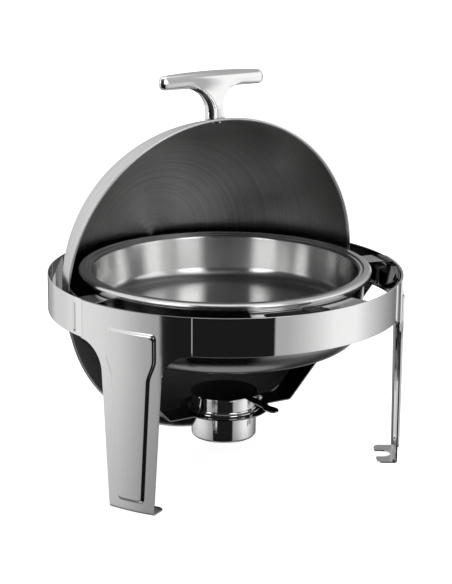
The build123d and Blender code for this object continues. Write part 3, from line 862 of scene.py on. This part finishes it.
def build_handle():
    """The casting: the CAD shape with an oval bar, rounded edges and a smooth skin."""
    source = frame["nodes"]["handle"]
    piece = bpy.data.objects.new("handle_casting", source.data.copy())
    collection.objects.link(piece)
    remesh = piece.modifiers.new("skin", "REMESH")
    remesh.mode = "VOXEL"
    remesh.voxel_size = SKIN_VOXEL
    apply_modifiers(piece)
    for vertex in piece.data.vertices:
        vertex.co = oval_section(vertex.co)
    smooth = piece.modifiers.new("round", "SMOOTH")
    smooth.factor = 0.5
    smooth.iterations = SKIN_SMOOTHING
    apply_modifiers(piece)
    piece.data.materials.clear()
    piece.data.materials.append(MATERIALS["polished_handle"])
    for face in piece.data.polygons:
        face.use_smooth = True
        face.material_index = 0
    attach(piece, "lid")
    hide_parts("handle")


# ---- CAD nodes that stay ------------------------------------------------------------------
# Each with the width of its rounded edges, in millimetres.
KEPT = {
    "pan_support_ring": 0.4,
    "pan_bracket_left": 0.3,
    "pan_bracket_right": 0.3,
    "front_rest_plate": 0.3,
    "lid_bumper": 0.6,
    "burner_strap": 0.35,
    "hinge_boss_left": 0.5,
    "hinge_boss_right": 0.5,
    "hinge_screw_left": 0.3,
    "hinge_screw_right": 0.3,
    "hinge_washer_left": 0.15,
    "hinge_washer_right": 0.15,
    "hinge_plate_left": 0.4,
    "hinge_plate_right": 0.4,
    "hinge_plate_rivets": 0.3,
    "handle_screws": 0.4,
    "handle_washers": 0.2,
    "cover_lug": 0.3,
    "cover_pin": 0.3,
    "burner_cover": 0.4,
    "cover_lever": 0.35,
}


def dress_kept_nodes():
    for name, width in KEPT.items():
        node = frame["nodes"][name]
        node.data.materials.clear()
        node.data.materials.append(MATERIALS[SLOT_OF[name]])
        weld = node.modifiers.new("weld", "WELD")
        weld.merge_threshold = 0.00001
        add_bevel(node, width * MM, 40)
        weighted = node.modifiers.new("normals", "WEIGHTED_NORMAL")
        weighted.keep_sharp = True


build_food_pan()
build_water_pan()
build_fuel_cup()
build_collar()
build_dome()
build_band()
for leg_node, leg_angle in (("front_left_leg", -60), ("front_right_leg", 60), ("rear_leg", 180)):
    build_leg(leg_node, leg_angle)
build_handle()
dress_kept_nodes()


# ---- floor, light and camera --------------------------------------------------------------
def add_floor():
    """A plain white floor that glows a little, so that hardly any shadow shows on it."""
    reach = 6.0
    mesh = bpy.data.meshes.new("floor")
    corners = [(-reach, -reach, 0), (reach, -reach, 0), (reach, reach, 0), (-reach, reach, 0)]
    mesh.from_pydata(corners, [], [(0, 1, 2, 3)])
    floor = bpy.data.objects.new("floor", mesh)
    collection.objects.link(floor)
    shader = Shader("floor")
    shader.bsdf.inputs["Base Color"].default_value = (0.5, 0.5, 0.5, 1)
    shader.bsdf.inputs["Emission Color"].default_value = (1, 1, 1, 1)
    shader.bsdf.inputs["Emission Strength"].default_value = 0.75
    shader.bsdf.inputs["Roughness"].default_value = 0.9
    shader.bsdf.inputs["Specular IOR Level"].default_value = 0.1
    mesh.materials.append(shader.material)
    floor.visible_glossy = False


# Brightness round the studio, as (degrees from the front towards +X, level): the cards that stand
# round the table, and the two rows of soft boxes above them.
CARDS = [
    (-180, 0.40),
    (-169, 0.67),
    (-153, 0.72),
    (-135, 0.87),
    (-116, 0.83),
    (-99, 0.72),
    (-81, 0.46),
    (-70.4, 0.40),
    (-69.4, 0.012),
    (0.0, 0.012),
    (0.8, 0.44),
    (8, 0.45),
    (20, 0.60),
    (42, 0.98),
    (60, 1.00),
    (74, 0.70),
    (92, 0.42),
    (108, 0.22),
    (124, 0.15),
    (126, 0.95),
    (132, 0.95),
    (134, 0.44),
    (146, 0.44),
    (150, 0.14),
    (167, 0.14),
    (174, 0.40),
]
LOW_BOXES = [
    (-180, 0.70),
    (-120, 0.85),
    (-92, 0.90),
    (-84, 1.90),
    (-60, 1.90),
    (-54, 0.04),
    (-12, 0.04),
    (-5, 1.90),
    (11, 1.90),
    (18, 0.44),
    (28, 0.44),
    (33, 1.0),
    (60, 1.0),
    (100, 0.6),
    (150, 0.24),
]
HIGH_BOXES = [
    (-180, 0.80),
    (-120, 0.85),
    (-70, 1.0),
    (-60, 0.10),
    (-12, 0.10),
    (-2, 1.0),
    (6, 1.0),
    (20, 0.50),
    (60, 0.42),
    (140, 0.40),
]
FRONT_CEILING = 1.3
REAR_CEILING = 0.42
TABLE = 0.55
CARD_FOOT = 0.66
UNDER_CARDS = 0.3
STUDIO_STRENGTH = 1.08
WORLD_STRENGTH = 1.5


def wall_ramp(shader, share, levels):
    """The level at that share of the turn, from straight behind round the front and back."""
    ramp = shader.tree.nodes.new("ShaderNodeValToRGB")
    elements = ramp.color_ramp.elements
    half_turn = FULL_TURN / 2
    levels = levels + [(half_turn, levels[0][1])]
    while len(elements) < len(levels):
        elements.new(0.5)
    for element, (angle, level) in zip(elements, levels):
        element.position = (angle + half_turn) / FULL_TURN
        element.color = (level, level, level, 1)
    shader.join(share, ramp.inputs[0])
    return ramp.outputs[0]


def add_studio():
    """Soft boxes and dark cards that only reflections see, as emission on a large sphere."""
    rings = 24
    spokes = 48
    radius = 5.5
    verts = []
    for i in range(rings + 1):
        polar = math.pi * i / rings
        for j in range(spokes):
            a = 2 * math.pi * j / spokes
            ring = radius * math.sin(polar)
            verts.append((ring * math.cos(a), ring * math.sin(a), radius * math.cos(polar)))
    faces = []
    for i in range(rings):
        low = i * spokes
        high = low + spokes
        for j in range(spokes):
            k = (j + 1) % spokes
            faces.append((low + j, low + k, high + k, high + j))
    mesh = bpy.data.meshes.new("studio")
    mesh.from_pydata(verts, [], faces)
    studio = bpy.data.objects.new("studio", mesh)
    collection.objects.link(studio)
    shader = Shader("studio_light")
    shader.tree.nodes.remove(shader.bsdf)
    split = shader.tree.nodes.new("ShaderNodeSeparateXYZ")
    shader.join(shader.vector("NORMALIZE", shader.position()), split.inputs[0])
    x, y, z = split.outputs
    turn = shader.math("ARCTAN2", x, shader.math("MULTIPLY", y, -1.0))
    share = shader.remap(turn, -math.pi, math.pi, 0.0, 1.0)
    cards = wall_ramp(shader, share, CARDS)
    low_boxes = wall_ramp(shader, share, LOW_BOXES)
    high_boxes = wall_ramp(shader, share, HIGH_BOXES)
    sideways = shader.math("ADD", y, shader.math("MULTIPLY", x, 0.8))
    ceiling = shader.remap(sideways, -0.20, 0.10, FRONT_CEILING, REAR_CEILING)
    level = shader.math("MULTIPLY", cards, shader.remap(z, -0.40, -0.27, CARD_FOOT, 1.0))
    level = shader.math("MULTIPLY", level, shader.remap(z, -0.62, -0.46, UNDER_CARDS, 1.0))
    level = shader.blend(level, TABLE, shader.remap(z, -0.88, -0.94, 0.0, 1.0))
    level = shader.blend(level, low_boxes, shader.remap(z, 0.10, 0.20, 0.0, 1.0))
    level = shader.blend(level, high_boxes, shader.remap(z, 0.58, 0.66, 0.0, 1.0))
    level = shader.blend(level, ceiling, shader.remap(z, 0.80, 0.92, 0.0, 1.0))
    glow = shader.tree.nodes.new("ShaderNodeEmission")
    glow.inputs["Strength"].default_value = STUDIO_STRENGTH
    shader.join(level, glow.inputs["Color"])
    shader.join(glow.outputs[0], shader.out.inputs["Surface"])
    shader.material.cycles.emission_sampling = "NONE"
    mesh.materials.append(shader.material)
    studio.visible_camera = False
    studio.visible_diffuse = False
    studio.visible_shadow = False


def add_world():
    world = bpy.data.worlds.new("studio_air")
    bpy.context.scene.world = world
    world.use_nodes = True
    background = world.node_tree.nodes["Background"]
    background.inputs["Color"].default_value = (1, 1, 1, 1)
    background.inputs["Strength"].default_value = WORLD_STRENGTH


def add_camera():
    """The eye is to the front left, a little above the band, and looks at the object's middle."""
    azimuth = math.radians(-30.6)
    elevation = math.radians(15.41)
    ring_r = 238 * MM
    distance = 9.60 * ring_r
    shift_right = 0.0072 * ring_r
    shift_up = -0.1291 * ring_r
    level = math.cos(elevation)
    back = Vector((math.sin(azimuth) * level, -math.cos(azimuth) * level, math.sin(elevation)))
    right = Vector((math.cos(azimuth), math.sin(azimuth), 0))
    up = back.cross(right)
    place = Vector((0, 0, RIM_Z)) + distance * back + shift_right * right + shift_up * up
    roll = math.radians(0.4)
    tilted_right = right * math.cos(roll) + up * math.sin(roll)
    tilted_up = up * math.cos(roll) - right * math.sin(roll)
    matrix = Matrix((tilted_right, tilted_up, back)).transposed().to_4x4()
    matrix.translation = place
    lens = bpy.data.cameras.new("camera")
    lens.sensor_fit = "VERTICAL"
    lens.sensor_height = 36
    lens.lens = 104.95
    camera = bpy.data.objects.new("camera", lens)
    camera.matrix_world = matrix
    collection.objects.link(camera)
    bpy.context.scene.camera = camera


add_floor()
add_studio()
add_world()
add_camera()
bpy.context.scene.view_settings.view_transform = "Standard"
